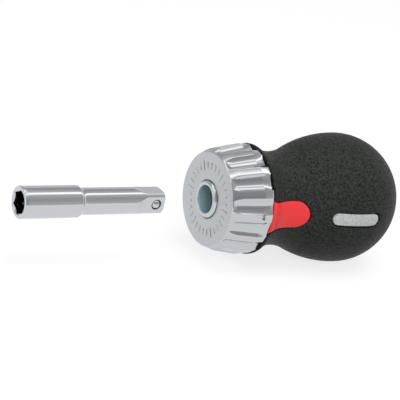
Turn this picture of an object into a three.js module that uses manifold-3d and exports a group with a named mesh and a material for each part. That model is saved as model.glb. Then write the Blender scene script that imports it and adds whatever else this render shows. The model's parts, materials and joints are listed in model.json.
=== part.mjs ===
// A stubby ratchet screwdriver: a ball handle, a fluted selector ring that reverses the ratchet,
// and a bit-holder blade that plugs into the ratchet's spindle, shown drawn out of it.
// Millimetres. The tool lies along X with its tip towards -X and its marked side towards -Y, +Z up.
// Every length along the tool is counted from the selector ring's front face, plus towards the ball.

import * as THREE from "three";
import { mergeVertices } from "three/addons/utils/BufferGeometryUtils.js";
import Module from "manifold-3d";

const wasm = await Module();
wasm.setup();

// Clearances
const RUN = 0.3; // between pieces that turn or slide past each other
const SEAT = 0.3; // between pieces that are pressed or moulded together
const FIT = 0.15; // on each side of the blade in its socket
const BEHIND_RING = 0.3; // between the ring's rear edge and the handle
const OVERSHOOT = 1; // of a cutter past the surface that it opens

// Blade: a bit socket at the tip, a round shaft and a square drive end
const BIT_SOCKET_RADIUS = 4.75;
const BIT_SOCKET_LENGTH = 18;
const BIT_SOCKET_EDGE = 0.5;
const SHOULDER_LENGTH = 1.3;
const SHOULDER_CROWN = 0.25; // radius lost over the shoulder's rounded part
const SHOULDER_CROWN_LENGTH = 0.8;
const SHAFT_RADIUS = 4;
const SHAFT_LENGTH = 18.1;
const NECK_GROOVE = 0.25;
const NECK_GROOVE_WIDTH = 0.7;
const SQUARE = 6.35;
const SQUARE_LENGTH = 8.6; // with the run-out of its flats
const SQUARE_EDGE = 0.4;
const RUN_OUT_RADIUS = 2.8;
const DRAWN_OUT = 16.5; // from the square end to the ring's face, as shown
const BLADE_ROLL = 4; // degrees that spindle and blade are turned from the marked side

// Bit socket
const HEX = 6.4;
const HEX_DEPTH = 12;
const HEX_LEAD = 0.6;
const HEX_LEAD_WIDTH = 0.15; // round the hexagon's corners
const MAGNET_RADIUS = 2.5;
const MAGNET_LENGTH = 2.8;
const BIT_CLIP_SETBACK = 3.2;
const BIT_CLIP_WIRE = 0.5;
const BIT_CLIP_GAP = 50; // degrees left open

// Spring ball in the square end
const BLADE_BALL_RADIUS = 1.45;
const BLADE_BALL_STANDS = 0.6;
const BLADE_BALL_SETBACK = 2.7;
const BLADE_SPRING_LENGTH = 2.5;

// Spindle that takes the blade
const SPINDLE_NOSE = 0.8; // ahead of the ring's face
const SPINDLE_WALL = 1.55;
const SPINDLE_EDGE = 0.45;
const PILOT_DEPTH = 11.3;
const SEATED_GAP = 0.4; // behind the blade when it is home
const SPINDLE_FLOOR = 2;
const BALL_RECESS_DEPTH = 1.2;

// Ratchet wheel and the two rocking pawls
const TEETH = 24;
const GEAR_WALL = 0.6;
const TOOTH_DEPTH = 0.8;
const TOOTH_TIP = 0.5;
const TOOTH_ROOT = 0.5;
const GEAR_LENGTH = 5;
const PAWL_TILT = 10; // degrees each way
const PAWL_RELIEF = 0.4; // kept off the teeth so that it can rock
const PAWL_DEPTH = 3.5;
const PAWL_PIN_RADIUS = 0.9;
const PAWL_NECK_STEP = 1.5; // degrees before the nose
const PAWL_BACK_STEP = 4.5; // degrees that the back stops short of the nose
const PAWL_BACK_EDGE = 0.6;
const NOSE_TIP = 0.3;
const NOSE_BASE = 1.2;
const THRUST_WASHER = 0.5;
const PAWL_ANGLES = { 1: 0, 2: 180 };

// Ratchet body, fixed in the handle
const POCKET_HALF_ANGLE = 46;
const BODY_REAR_WALL = 2.8;
const BODY_SLEEVE_WALL = 2.2;
const BODY_SLEEVE_LENGTH = 13.4;
const BUSH_WALL = 1.2;
const FRONT_PLATE = 1.4;
const PLATE_SCREW_ANGLES = { 1: 62, 2: 242 };
const SCREW_RADIUS = 1.1;
const SCREW_HEAD_RADIUS = 1.6;
const SCREW_HEAD_SINK = 0.7;
const SCREW_LENGTH = 4.5;
const SCREW_SLOT_WIDTH = 0.6;
const SCREW_SLOT_DEPTH = 0.35;
const LOCK_PIN_RADIUS = 1.5;
const LOCK_PIN_ANGLE = 90;

// Selector ring
const RING_LENGTH = 13.1;
const RING_FRONT_WALL = 2.4;
const RING_WALL = 3.5;
const RING_DRAFT = 1.15; // radius that the lands lose towards the bevel
const RING_BEVEL = 1.4; // and then over the bevel
const RING_BEVEL_LENGTH = 3.4;
const RING_BEVEL_CROWN = 0.15;
const RING_FACE_EDGE = 0.2;
const RING_REAR_BAND = 2.85;
const RING_REAR_TAPER = 0.2;
const FLUTES = 14;
const FLUTE_DEPTH = 1.1;
const FLUTE_RADIUS = 4;
const PLUNGER_BOSS = 1.2;
const PLUNGER_BOSS_WIDTH = 4.8;
const PLUNGER_RADIUS = 1.2;
const PLUNGER_CROWN = 0.6;
const PLUNGER_LENGTH = 1.6;
const PLUNGER_HOLE_DEPTH = 3.1;
const PLUNGER_SPRING_LENGTH = 1.35;
const RETAINER_THICKNESS = 0.7;
const RETAINER_BITE = 0.45; // how far it stands into the ring's groove
const RETAINER_GAP = 40; // degrees left open

// Click of the selector ring
const RING_TURN = 24; // degrees each way
const CLICK_BALL_RADIUS = 1.45;
const CLICK_BALL_STANDS = 0.5;
const CLICK_SPRING_LENGTH = 1.85;
const CLICK_POCKET = 0.35;
const CLICK_POCKET_RADIUS = 0.8;
const CLICK_ANGLE = 90;

// Handle core, grip and label
const HANDLE_END = 65.5;
const BALL_RADIUS = 20;
const NECK_PLACE = 21.5;
const NECK_CURVE = 13; // radius of the hollow behind the neck
const LIP_LENGTH = 1.1;
const LIP_EDGE = 0.25;
const CORE_WALL = 2.1;
const GRIP_WALL = 2.3;
const CORE_FLANGE = 1.2;
const CORE_BORE_SPARE = 0.6;
const TAB_WIDTH = 8.5;
const TAB_FLARE = 1.05;
const TAB_FLARE_LENGTH = 3.2;
const TAB_END = 27.5;
const TAB_INSET = 0.15;
const LABEL_PLACE = 42.25;
const LABEL_LENGTH = 16;
const LABEL_WIDTH = 4;
const LABEL_SINK = 0.2;
const LABEL_THICKNESS = 0.6;

// Coil springs
const SPRING_WIRE = 0.4;
const SPRING_SIDES = 5;
const SPRING_STEPS = 8;
const SPRING_PITCH = 0.85;

// Facets
const ROUND = 40;
const SMALL_ROUND = 16;
const FLUTE_ROUND = 24;
const BALL_SIDES = 12;
const BALL_RINGS = 6;
const ARC_STEP = 12; // degrees

// Stack along the tool
const radians = THREE.MathUtils.degToRad;
const bladeEnd = -DRAWN_OUT;
const bladeTip = bladeEnd - SQUARE_LENGTH - SHAFT_LENGTH - SHOULDER_LENGTH - BIT_SOCKET_LENGTH;
const shoulderStart = bladeTip + BIT_SOCKET_LENGTH;
const shaftStart = shoulderStart + SHOULDER_LENGTH;
const bladeBallPlace = bladeEnd - BLADE_BALL_SETBACK;
const runOutSweep = Math.acos(1 - (SHAFT_RADIUS - SQUARE / 2) / RUN_OUT_RADIUS);
const runOut = RUN_OUT_RADIUS * Math.sin(runOutSweep);
const flatLength = SQUARE_LENGTH - runOut;
const plateFront = RING_FRONT_WALL + RUN;
const plateRear = plateFront + FRONT_PLATE;
const bodyFront = plateRear;
const gearFront = bodyFront + RUN;
const gearRear = gearFront + GEAR_LENGTH;
const washerFront = gearRear + RUN / 2;
const washerRear = washerFront + THRUST_WASHER;
const rearWallFront = washerRear + RUN / 2;
const bodyRear = rearWallFront + BODY_REAR_WALL;
const sleeveRear = bodyRear + BODY_SLEEVE_LENGTH;
const gearMiddle = (gearFront + gearRear) / 2;
const handleFront = RING_LENGTH + BEHIND_RING;
const spigotFront = bodyRear + SEAT;
const spindleSocketRear = PILOT_DEPTH + flatLength + SEATED_GAP - RUN;
const spindleRear = spindleSocketRear + SPINDLE_FLOOR;
const bladeTravel = DRAWN_OUT + spindleSocketRear - SEATED_GAP;
const ballCentre = HANDLE_END - BALL_RADIUS;
const retainerMiddle = (rearWallFront + bodyRear) / 2 + SEAT;
const lockPinPlace = (spindleRear + sleeveRear) / 2;

// Stack outwards from the axis
const pilotRadius = SHAFT_RADIUS + FIT;
const spindleRadius = pilotRadius + SPINDLE_WALL;
const gearBore = spindleRadius + SEAT / 2;
const gearRoot = gearBore + GEAR_WALL;
const gearTip = gearRoot + TOOTH_DEPTH;
const pawlInner = gearTip + RUN + PAWL_RELIEF;
const pawlOuter = pawlInner + PAWL_DEPTH;
const pawlPivot = (pawlInner + pawlOuter) / 2;
const plungerTip = pawlOuter + RUN;
const bossInner = plungerTip + RUN;
const ringInner = bossInner + PLUNGER_BOSS;
const ringLand = ringInner + RING_WALL;
const ringShoulder = ringLand - RING_DRAFT;
const ringFace = ringShoulder - RING_BEVEL;
const ringBore = spindleRadius + RUN;
const bodyRadius = ringInner - RUN;
const plateRadius = bossInner - RUN;
const gearRoom = gearTip + RUN;
const bushBore = spindleRadius + FIT;
const bushRadius = bushBore + BUSH_WALL;
const sleeveBore = bushRadius;
const sleeveRadius = sleeveBore + BODY_SLEEVE_WALL;
const coreBore = sleeveRadius + SEAT;
const coreNeck = coreBore + CORE_WALL;
const neckRadius = coreNeck + SEAT + GRIP_WALL;
const lipRadius = ringLand;
const coreFlangeRadius = lipRadius - GRIP_WALL;
const coreBall = BALL_RADIUS - GRIP_WALL - SEAT;
const spigotRadius = bodyRadius;

// Materials
function finish(color, roughness, metalness) {
  return new THREE.MeshStandardMaterial({ color, roughness, metalness });
}
const chrome = finish(0xc4c9cf, 0.15, 1);
const satinChrome = finish(0xb6bcc4, 0.35, 1);
const steel = finish(0x8f9296, 0.4, 1);
const darkSteel = finish(0x55585c, 0.5, 1);
const bronze = finish(0xb08a4a, 0.4, 1);
const redPlastic = finish(0xe63c3a, 0.45, 0);
const blackRubber = finish(0x2c2e2b, 0.85, 0);
const greyPlastic = finish(0xc3c4c4, 0.7, 0);

// Joining and cutting
function solidOf(geometry) {
  const bare = geometry.index ? geometry.clone() : geometry;
  bare.deleteAttribute("normal");
  bare.deleteAttribute("uv");
  const merged = mergeVertices(bare, 1e-5);
  const place = merged.attributes.position;
  const corners = [];
  for (let i = 0; i < merged.index.count; i += 3) {
    const [a, b, c] = [0, 1, 2].map((k) => merged.index.getX(i + k));
    if (a !== b && b !== c && c !== a) {
      corners.push(a, b, c);
    }
  }
  return new wasm.Manifold(new wasm.Mesh({
    numProp: 3,
    vertProperties: new Float32Array(place.array),
    triVerts: new Uint32Array(outward(corners, place)),
  }));
}

// Turns a closed surface's triangles to face out of it
function outward(corners, place) {
  const [a, b, c] = [new THREE.Vector3(), new THREE.Vector3(), new THREE.Vector3()];
  let volume = 0;
  for (let i = 0; i < corners.length; i += 3) {
    a.fromBufferAttribute(place, corners[i]);
    b.fromBufferAttribute(place, corners[i + 1]);
    c.fromBufferAttribute(place, corners[i + 2]);
    volume += a.dot(b.cross(c));
  }
  return volume > 0 ? corners : corners.reverse();
}

function meshOf(name, solid, material) {
  const { vertProperties, triVerts } = solid.getMesh();
  const geometry = new THREE.BufferGeometry();
  geometry.setAttribute("position", new THREE.BufferAttribute(vertProperties, 3));
  geometry.setIndex(new THREE.BufferAttribute(triVerts, 1));
  geometry.computeVertexNormals();
  const mesh = new THREE.Mesh(geometry, material);
  mesh.name = name;
  return mesh;
}

// Shapes. A profile lists [along, radius]; a section is drawn in Y and Z and runs along X.
function turned(profile, sides = ROUND) {
  const points = profile.map(([along, radius]) => new THREE.Vector2(radius, along));
  const geometry = new THREE.LatheGeometry(points, sides);
  return solidOf(geometry.rotateZ(-Math.PI / 2));
}

function tube(from, to, inner, outer, sides = ROUND) {
  return turned([[from, inner], [from, outer], [to, outer], [to, inner], [from, inner]], sides);
}

function rod(from, to, radius, sides = SMALL_ROUND) {
  return turned([[from, 0], [from, radius], [to, radius], [to, 0]], sides);
}

const sectionToTool = new THREE.Matrix4().makeBasis(
  new THREE.Vector3(0, 1, 0),
  new THREE.Vector3(0, 0, 1),
  new THREE.Vector3(1, 0, 0),
);

function along(section, from, to) {
  const options = { depth: to - from, bevelEnabled: false, curveSegments: SMALL_ROUND };
  const geometry = new THREE.ExtrudeGeometry(section, options);
  return solidOf(geometry.applyMatrix4(sectionToTool).translate(from, 0, 0));
}

// An outline drawn along X and Z, standing out towards -Y from one depth to another
function standing(outline, from, to) {
  const options = { depth: to - from, bevelEnabled: false, curveSegments: SMALL_ROUND / 2 };
  const geometry = new THREE.ExtrudeGeometry(outline, options);
  return solidOf(geometry.rotateX(Math.PI / 2).translate(0, -from, 0));
}

// A pin that points out of the axis towards -Y
function spoke(place, from, to, radius, sides = SMALL_ROUND) {
  const geometry = new THREE.CylinderGeometry(radius, radius, to - from, sides);
  return solidOf(geometry.translate(place, -(from + to) / 2, 0));
}

function ball(place, out, radius) {
  const geometry = new THREE.SphereGeometry(radius, BALL_SIDES, BALL_RINGS);
  return solidOf(geometry.translate(place, -out, 0));
}

// Turns a solid about the tool's axis, from the marked side upwards
function turnedTo(solid, degrees) {
  return solid.rotate([-degrees, 0, 0]);
}

function polar(radius, degrees) {
  const angle = radians(degrees);
  return new THREE.Vector2(-radius * Math.cos(angle), radius * Math.sin(angle));
}

function arc(centreAlong, centreRadius, radius, fromDegrees, toDegrees) {
  const steps = Math.max(2, Math.ceil(Math.abs(toDegrees - fromDegrees) / ARC_STEP));
  return Array.from({ length: steps + 1 }, (_, i) => {
    const angle = radians(fromDegrees + ((toDegrees - fromDegrees) * i) / steps);
    return [centreAlong + radius * Math.cos(angle), centreRadius + radius * Math.sin(angle)];
  });
}

// A ring sector, for clips that are open at one place and for pockets
function sector(inner, outer, fromDegrees, toDegrees) {
  const section = new THREE.Shape();
  const steps = Math.ceil(Math.abs(toDegrees - fromDegrees) / ARC_STEP);
  const angles = Array.from({ length: steps + 1 }, (_, i) => (
    fromDegrees + ((toDegrees - fromDegrees) * i) / steps
  ));
  const outside = angles.map((angle) => polar(outer, angle));
  const inside = inner > 0 ? angles.reverse().map((angle) => polar(inner, angle)) : [polar(0, 0)];
  return section.setFromPoints([...outside, ...inside]);
}

// A coil spring that stands out of the axis towards -Y, as one unbroken wire
function coil(place, from, length, radius) {
  const rise = length - SPRING_WIRE;
  const curls = rise / SPRING_PITCH;
  const centreline = new THREE.Curve();
  centreline.getPoint = (share, target = new THREE.Vector3()) => {
    const angle = 2 * Math.PI * curls * share;
    const out = from + SPRING_WIRE / 2 + rise * share;
    return target.set(place + radius * Math.cos(angle), -out, radius * Math.sin(angle));
  };
  const wire = Array.from({ length: SPRING_SIDES }, (_, i) => {
    const angle = (2 * Math.PI * i) / SPRING_SIDES;
    const half = SPRING_WIRE / 2;
    return new THREE.Vector2(half * Math.cos(angle), half * Math.sin(angle));
  });
  const steps = Math.ceil(curls * SPRING_STEPS);
  return solidOf(new THREE.ExtrudeGeometry(new THREE.Shape(wire), { steps, extrudePath: centreline }));
}

function coilRadius(holeRadius) {
  return holeRadius - RUN - SPRING_WIRE / 2;
}

function rectangle(width, height = width) {
  const [y, z] = [width / 2, height / 2];
  const corners = [[-y, -z], [y, -z], [y, z], [-y, z]];
  return new THREE.Shape(corners.map((corner) => new THREE.Vector2(...corner)));
}

function hexagon(acrossFlats) {
  const corners = Array.from({ length: 6 }, (_, i) => polar(acrossFlats / Math.sqrt(3), 30 + 60 * i));
  return new THREE.Shape(corners);
}

// Blade
const bladeBallOut = SQUARE / 2 + BLADE_BALL_STANDS - BLADE_BALL_RADIUS;
const bladeBallHole = BLADE_BALL_RADIUS + FIT;
const bladeSpringFrom = bladeBallOut - BLADE_BALL_RADIUS - FIT / 2 - BLADE_SPRING_LENGTH;
const hexFloor = bladeTip + HEX_DEPTH;
const bitClipOuter = HEX / Math.sqrt(3) + BIT_CLIP_WIRE / 2;

// One flat of the square, milled from the end and running out of the shaft in an arc
function flatCutter(degrees) {
  const flat = SQUARE / 2;
  const clear = SHAFT_RADIUS + OVERSHOOT;
  const sweep = THREE.MathUtils.radToDeg(Math.acos(1 - (clear - flat) / RUN_OUT_RADIUS));
  const turnPlace = bladeEnd - flatLength;
  const edge = arc(turnPlace, flat + RUN_OUT_RADIUS, RUN_OUT_RADIUS, -90, -90 - sweep);
  const outline = [[bladeEnd + clear, clear], [bladeEnd + clear, flat], ...edge, [edge.at(-1)[0], clear]];
  const shape = new THREE.Shape(outline.map(([x, out]) => new THREE.Vector2(x, -out)));
  const geometry = new THREE.ExtrudeGeometry(shape, { depth: 2 * clear, bevelEnabled: false });
  return turnedTo(solidOf(geometry.translate(0, 0, -clear)), degrees);
}

function makeBladeShank() {
  const grooveEnd = shaftStart + NECK_GROOVE_WIDTH;
  let shank = turned([
    [bladeTip, 0],
    [bladeTip, BIT_SOCKET_RADIUS - BIT_SOCKET_EDGE],
    [bladeTip + BIT_SOCKET_EDGE, BIT_SOCKET_RADIUS],
    [shoulderStart, BIT_SOCKET_RADIUS],
    [shoulderStart + SHOULDER_CROWN_LENGTH, BIT_SOCKET_RADIUS - SHOULDER_CROWN],
    [shaftStart, SHAFT_RADIUS - NECK_GROOVE],
    [grooveEnd - NECK_GROOVE, SHAFT_RADIUS - NECK_GROOVE],
    [grooveEnd, SHAFT_RADIUS],
    [bladeEnd - SQUARE_EDGE, SHAFT_RADIUS],
    [bladeEnd, SHAFT_RADIUS - SQUARE_EDGE],
    [bladeEnd, 0],
  ]);
  for (const degrees of [0, 90, 180, 270]) {
    shank = shank.subtract(flatCutter(degrees));
  }
  const leadRadius = HEX / Math.sqrt(3) + HEX_LEAD_WIDTH;
  const lead = turned([
    [bladeTip - SEAT, 0],
    [bladeTip - SEAT, leadRadius],
    [bladeTip, leadRadius],
    [bladeTip + HEX_LEAD, HEX / 2],
    [bladeTip + HEX_LEAD, 0],
  ]);
  const clipFrom = bladeTip + BIT_CLIP_SETBACK - FIT;
  return shank
    .subtract(along(hexagon(HEX), bladeTip - SEAT, hexFloor))
    .subtract(lead)
    .subtract(rod(clipFrom, clipFrom + BIT_CLIP_WIRE + 2 * FIT, bitClipOuter + FIT, ROUND))
    .subtract(rod(hexFloor - FIT, hexFloor + MAGNET_LENGTH + SEAT, MAGNET_RADIUS + FIT))
    .subtract(spoke(bladeBallPlace, bladeSpringFrom - FIT / 2, SHAFT_RADIUS + OVERSHOOT, bladeBallHole));
}

function makeBitMagnet() {
  return rod(hexFloor, hexFloor + MAGNET_LENGTH, MAGNET_RADIUS);
}

function makeBitClip() {
  const from = bladeTip + BIT_CLIP_SETBACK;
  const half = BIT_CLIP_GAP / 2;
  const ring = sector(bitClipOuter - BIT_CLIP_WIRE, bitClipOuter, half, 360 - half);
  return along(ring, from, from + BIT_CLIP_WIRE);
}

function makeBladeBall() {
  return ball(bladeBallPlace, bladeBallOut, BLADE_BALL_RADIUS);
}

function makeBladeSpring() {
  return coil(bladeBallPlace, bladeSpringFrom, BLADE_SPRING_LENGTH, coilRadius(bladeBallHole));
}

// Spindle and ratchet wheel
function makeDriveSpindle() {
  const nose = -SPINDLE_NOSE;
  const sleeve = turned([
    [nose, 0],
    [nose, spindleRadius - SPINDLE_EDGE],
    [nose + SPINDLE_EDGE, spindleRadius],
    [spindleRear, spindleRadius],
    [spindleRear, 0],
  ]);
  const pilot = turned([
    [nose - SEAT, 0],
    [nose - SEAT, pilotRadius + SPINDLE_EDGE],
    [nose, pilotRadius + SPINDLE_EDGE],
    [nose + SPINDLE_EDGE, pilotRadius],
    [PILOT_DEPTH, pilotRadius],
    [PILOT_DEPTH, 0],
  ]);
  const corners = rod(PILOT_DEPTH - FIT, spindleSocketRear, pilotRadius + FIT, ROUND);
  const driveSquare = along(rectangle(SQUARE + 2 * FIT), PILOT_DEPTH - FIT, spindleSocketRear);
  const recessTop = SQUARE / 2 + FIT + BALL_RECESS_DEPTH;
  const recess = spoke(bladeBallPlace + bladeTravel, 0, recessTop, bladeBallHole);
  return sleeve.subtract(pilot).subtract(driveSquare.intersect(corners)).subtract(recess);
}

function makeRatchetGear() {
  const pitch = 360 / TEETH;
  const tipHalf = THREE.MathUtils.radToDeg(TOOTH_TIP / 2 / gearTip);
  const rootHalf = THREE.MathUtils.radToDeg(TOOTH_ROOT / 2 / gearRoot);
  const outline = [];
  for (let tooth = 0; tooth < TEETH; tooth += 1) {
    const gap = tooth * pitch;
    outline.push(polar(gearRoot, gap - rootHalf), polar(gearRoot, gap + rootHalf));
    outline.push(polar(gearTip, gap + pitch / 2 - tipHalf), polar(gearTip, gap + pitch / 2 + tipHalf));
  }
  const wheel = along(new THREE.Shape(outline), gearFront, gearRear);
  return wheel.subtract(rod(gearFront - SEAT, gearRear + SEAT, gearBore, ROUND));
}

function makeThrustWasher() {
  return tube(washerFront, washerRear, bushBore, gearTip);
}

// Rocking pawls, drawn at the marked side in the middle place, where both noses clear the teeth
function rockedBack(point, degrees) {
  const pivot = polar(pawlPivot, 0);
  return point.clone().rotateAround(pivot, radians(degrees));
}

function makePawl(degrees) {
  const pitch = 360 / TEETH;
  const noseAngle = 2 * pitch;
  const engaged = gearRoot + SEAT;
  const base = engaged + TOOTH_DEPTH;
  const tipHalf = THREE.MathUtils.radToDeg(NOSE_TIP / 2 / engaged);
  const baseHalf = THREE.MathUtils.radToDeg(NOSE_BASE / 2 / base);
  const relief = pawlInner + PAWL_DEPTH * Math.sin(radians(PAWL_TILT)) / 2;
  const nose = [
    polar(base, noseAngle - baseHalf),
    polar(engaged, noseAngle - tipHalf),
    polar(engaged, noseAngle + tipHalf),
    polar(base, noseAngle + baseHalf),
  ].map((point) => rockedBack(point, PAWL_TILT));
  const neckAngle = noseAngle - baseHalf - PAWL_NECK_STEP;
  const backAngle = noseAngle - PAWL_BACK_STEP;
  const upperHalf = [
    polar(pawlInner, 0),
    polar(pawlInner, neckAngle / 2),
    polar(relief, neckAngle),
    ...nose,
    polar(pawlOuter - PAWL_BACK_EDGE, noseAngle),
    polar(pawlOuter, backAngle),
    polar(pawlOuter, backAngle / 2),
    polar(pawlOuter, 0),
  ];
  const lowerHalf = upperHalf.slice(1, -1).reverse().map(({ x, y }) => new THREE.Vector2(x, -y));
  const rocker = along(new THREE.Shape([...upperHalf, ...lowerHalf]), gearFront, gearRear);
  const hole = rod(gearFront - SEAT, gearRear + SEAT, PAWL_PIN_RADIUS + FIT);
  return turnedTo(rocker.subtract(hole.translate([0, -pawlPivot, 0])), degrees);
}

function makePawlPin(degrees) {
  const pin = rod(plateFront + SEAT, bodyRear - SEAT, PAWL_PIN_RADIUS);
  return turnedTo(pin.translate([0, -pawlPivot, 0]), degrees);
}

// Ratchet body, the plate that closes it, and what is held in it
const screwRadius = (gearRoom + bodyRadius) / 2;
const clickBallOut = ringInner + CLICK_BALL_STANDS - CLICK_BALL_RADIUS;
const clickHole = CLICK_BALL_RADIUS + FIT;
const clickSpringFrom = clickBallOut - CLICK_BALL_RADIUS - FIT / 2 - CLICK_SPRING_LENGTH;
const lockPinHalf = coreNeck - SEAT;
const retainerOuter = ringInner + RETAINER_BITE;
const retainerInner = bodyRadius - RETAINER_BITE - SEAT;

function pinHoles(solid, from, to) {
  let drilled = solid;
  for (const degrees of Object.values(PAWL_ANGLES)) {
    const hole = rod(from, to, PAWL_PIN_RADIUS + FIT).translate([0, -pawlPivot, 0]);
    drilled = drilled.subtract(turnedTo(hole, degrees));
  }
  return drilled;
}

function retainerGroove(inner, outer) {
  const half = RETAINER_THICKNESS / 2 + RUN;
  return tube(retainerMiddle - half, retainerMiddle + half, inner, outer);
}

function makeRatchetBody() {
  let body = turned([
    [bodyFront, gearRoom],
    [bodyFront, bodyRadius],
    [bodyRear, bodyRadius],
    [bodyRear, sleeveRadius],
    [sleeveRear, sleeveRadius],
    [sleeveRear, sleeveBore],
    [bodyRear, sleeveBore],
    [bodyRear, bushRadius + SEAT / 2],
    [rearWallFront, bushRadius + SEAT / 2],
    [rearWallFront, gearRoom],
    [bodyFront, gearRoom],
  ]);
  const reach = bodyRadius + RUN;
  for (const degrees of Object.values(PAWL_ANGLES)) {
    const pocket = sector(0, reach / Math.cos(radians(ARC_STEP)), -POCKET_HALF_ANGLE, POCKET_HALF_ANGLE);
    body = body.subtract(turnedTo(along(pocket, bodyFront - RUN, rearWallFront), degrees));
  }
  for (const degrees of Object.values(PLATE_SCREW_ANGLES)) {
    const hole = rod(bodyFront - SEAT, plateFront + SCREW_LENGTH + SEAT, SCREW_RADIUS + FIT);
    body = body.subtract(turnedTo(hole.translate([0, -screwRadius, 0]), degrees));
  }
  const click = spoke(gearMiddle, clickSpringFrom - FIT / 2, bodyRadius + RUN, clickHole);
  const lock = spoke(lockPinPlace, -sleeveRadius - RUN, sleeveRadius + RUN, LOCK_PIN_RADIUS + FIT);
  return pinHoles(body, rearWallFront - SEAT, bodyRear + SEAT)
    .subtract(turnedTo(click, CLICK_ANGLE))
    .subtract(turnedTo(lock, LOCK_PIN_ANGLE))
    .subtract(retainerGroove(retainerInner - FIT, bodyRadius + RUN));
}

function makeFrontPlate() {
  let plate = tube(plateFront, plateRear - FIT, bushBore, plateRadius);
  for (const degrees of Object.values(PLATE_SCREW_ANGLES)) {
    const hole = turned([
      [plateFront - SEAT, 0],
      [plateFront - SEAT, SCREW_HEAD_RADIUS + FIT + SEAT],
      [plateFront + SCREW_HEAD_SINK, SCREW_RADIUS + FIT],
      [plateRear + SEAT, SCREW_RADIUS + FIT],
      [plateRear + SEAT, 0],
    ], SMALL_ROUND);
    plate = plate.subtract(turnedTo(hole.translate([0, -screwRadius, 0]), degrees));
  }
  return pinHoles(plate, plateFront - SEAT, plateRear + SEAT);
}

function makePlateScrew(degrees) {
  const screw = turned([
    [plateFront, 0],
    [plateFront, SCREW_HEAD_RADIUS],
    [plateFront + SCREW_HEAD_SINK, SCREW_RADIUS],
    [plateFront + SCREW_LENGTH, SCREW_RADIUS],
    [plateFront + SCREW_LENGTH, 0],
  ], SMALL_ROUND);
  const slot = rectangle(SCREW_SLOT_WIDTH, 2 * (SCREW_HEAD_RADIUS + OVERSHOOT));
  const cut = along(slot, plateFront - SEAT, plateFront + SCREW_SLOT_DEPTH);
  return turnedTo(screw.subtract(cut).translate([0, -screwRadius, 0]), degrees);
}

function makeBearingBush() {
  return tube(rearWallFront + FIT, bodyRear - FIT, bushBore, bushRadius);
}

function makeRingRetainer() {
  const half = RETAINER_GAP / 2;
  const clip = along(
    sector(retainerInner, retainerOuter, half, 360 - half),
    retainerMiddle - RETAINER_THICKNESS / 2,
    retainerMiddle + RETAINER_THICKNESS / 2,
  );
  return turnedTo(clip, -CLICK_ANGLE);
}

function makeClickBall() {
  return turnedTo(ball(gearMiddle, clickBallOut, CLICK_BALL_RADIUS), CLICK_ANGLE);
}

function makeClickSpring() {
  const spring = coil(gearMiddle, clickSpringFrom, CLICK_SPRING_LENGTH, coilRadius(clickHole));
  return turnedTo(spring, CLICK_ANGLE);
}

function makeLockPin() {
  return turnedTo(spoke(lockPinPlace, -lockPinHalf, lockPinHalf, LOCK_PIN_RADIUS), LOCK_PIN_ANGLE);
}

// Selector ring and its plungers
const plungerHole = PLUNGER_RADIUS + FIT;
const plungerHoleTop = bossInner + PLUNGER_HOLE_DEPTH;
const plungerSpringFrom = plungerHoleTop - FIT / 2 - PLUNGER_SPRING_LENGTH;

function clickTrack() {
  const reach = RING_TURN + THREE.MathUtils.radToDeg((CLICK_BALL_RADIUS + RUN) / ringInner);
  const top = ringInner + CLICK_BALL_STANDS + FIT;
  const half = clickHole;
  const ledge = ringInner - RUN;
  let track = along(sector(ledge, top, -reach, reach), gearMiddle - half, gearMiddle + half);
  for (const stop of [-RING_TURN, 0, RING_TURN]) {
    track = track.add(turnedTo(spoke(gearMiddle, ledge, top + CLICK_POCKET, CLICK_POCKET_RADIUS), stop));
  }
  return turnedTo(track, CLICK_ANGLE);
}

function makeSelectorRing() {
  const bandStart = RING_LENGTH - RING_REAR_BAND;
  let ring = turned([
    [0, ringBore],
    [0, ringFace - RING_FACE_EDGE],
    [RING_FACE_EDGE, ringFace],
    [RING_BEVEL_LENGTH / 2, (ringFace + ringShoulder) / 2 + RING_BEVEL_CROWN],
    [RING_BEVEL_LENGTH, ringShoulder],
    [bandStart, ringLand],
    [RING_LENGTH, ringLand - RING_REAR_TAPER],
    [RING_LENGTH, ringInner],
    [RING_FRONT_WALL, ringInner],
    [RING_FRONT_WALL, ringBore],
    [0, ringBore],
  ], 4 * FLUTES);
  const draft = Math.atan2(RING_DRAFT, bandStart - RING_BEVEL_LENGTH);
  const fluteOut = ringLand - FLUTE_DEPTH + FLUTE_RADIUS;
  const fluteReach = 2 * RING_LENGTH;
  for (let flute = 0; flute < FLUTES; flute += 1) {
    const cut = rod(-fluteReach, fluteReach, FLUTE_RADIUS, FLUTE_ROUND)
      .rotate([0, 0, -THREE.MathUtils.radToDeg(draft)])
      .translate([bandStart, -fluteOut, 0]);
    ring = ring.subtract(turnedTo(cut, (360 / FLUTES) * (flute + 0.5)));
  }
  ring = ring.subtract(retainerGroove(ringInner - RUN, retainerOuter + RUN)).subtract(clickTrack());
  for (const degrees of Object.values(PAWL_ANGLES)) {
    const half = PLUNGER_BOSS_WIDTH / 2;
    const outline = new THREE.Shape([
      new THREE.Vector2(gearFront, -half),
      new THREE.Vector2(gearRear, -half),
      new THREE.Vector2(gearRear, half),
      new THREE.Vector2(gearFront, half),
    ]);
    const boss = standing(outline, bossInner, ringInner + SEAT);
    const hole = spoke(gearMiddle, bossInner - RUN, plungerHoleTop, plungerHole);
    ring = ring.add(turnedTo(boss, degrees)).subtract(turnedTo(hole, degrees));
  }
  return ring;
}

function makePlunger(degrees) {
  const tip = plungerTip + PLUNGER_CROWN;
  const stem = spoke(gearMiddle, tip, plungerTip + PLUNGER_LENGTH, PLUNGER_RADIUS);
  const dome = new THREE.SphereGeometry(PLUNGER_RADIUS, SMALL_ROUND, BALL_RINGS);
  const nose = solidOf(dome.scale(1, PLUNGER_CROWN / PLUNGER_RADIUS, 1).translate(gearMiddle, -tip, 0));
  return turnedTo(stem.add(nose), degrees);
}

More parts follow.
